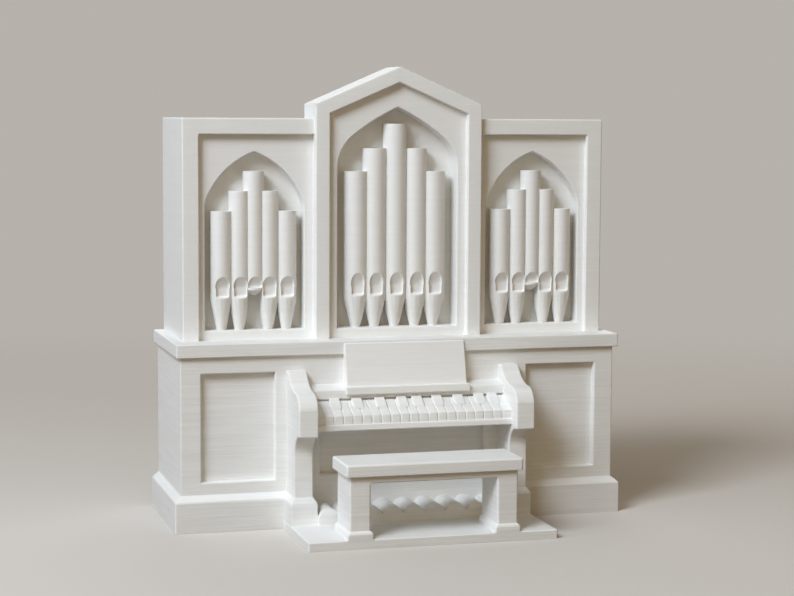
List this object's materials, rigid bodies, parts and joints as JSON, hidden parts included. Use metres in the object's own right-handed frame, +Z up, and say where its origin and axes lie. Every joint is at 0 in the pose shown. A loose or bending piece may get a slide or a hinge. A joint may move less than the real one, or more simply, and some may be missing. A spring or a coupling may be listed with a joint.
{
  "type": "printed scale model of a pipe organ",
  "caption": "Small printed model of a pipe organ with arched pipe niches, an attached console, a bench and pedals.",
  "frame": {"origin": "middle of the model's box, on the surface it stands on", "axes": "+X to the organ's right as seen from the bench, +Y to its flat back, +Z up"},
  "size_m": [0.13, 0.073, 0.1281],
  "materials": {
    "printed_white": "matte printed plastic with fine horizontal layer lines"
  },
  "bodies": {
    "root": {"bench_apron": "printed_white", "bench_legs": "printed_white", "bench_seat": "printed_white", "centre_arch_panel": "printed_white", "centre_case": "printed_white", "centre_stiles": "printed_white", "cheek_left": "printed_white", "cheek_right": "printed_white", "console_slab": "printed_white", "cornice": "printed_white", "gable": "printed_white", "gable_rake_left": "printed_white", "gable_rake_right": "printed_white", "key_rail": "printed_white", "keybed": "printed_white", "knee_panel": "printed_white", "lower_case": "printed_white", "lower_fronts": "printed_white", "music_desk": "printed_white", "natural_keys": "printed_white", "pedal_frame": "printed_white", "pedals": "printed_white", "pipe_centre_1": "printed_white", "pipe_centre_2": "printed_white", "pipe_centre_3": "printed_white", "pipe_centre_4": "printed_white", "pipe_centre_5": "printed_white", "pipe_left_1": "printed_white", "pipe_left_2": "printed_white", "pipe_left_3": "printed_white", "pipe_left_4": "printed_white", "pipe_left_5": "printed_white", "pipe_right_1": "printed_white", "pipe_right_2": "printed_white", "pipe_right_3": "printed_white", "pipe_right_4": "printed_white", "pipe_right_5": "printed_white", "plinth": "printed_white", "sharp_keys": "printed_white", "side_arch_panel_left": "printed_white", "side_arch_panel_right": "printed_white", "side_case_left": "printed_white", "side_case_right": "printed_white", "side_rails": "printed_white", "side_stiles": "printed_white"}
  },
  "joints": []
}
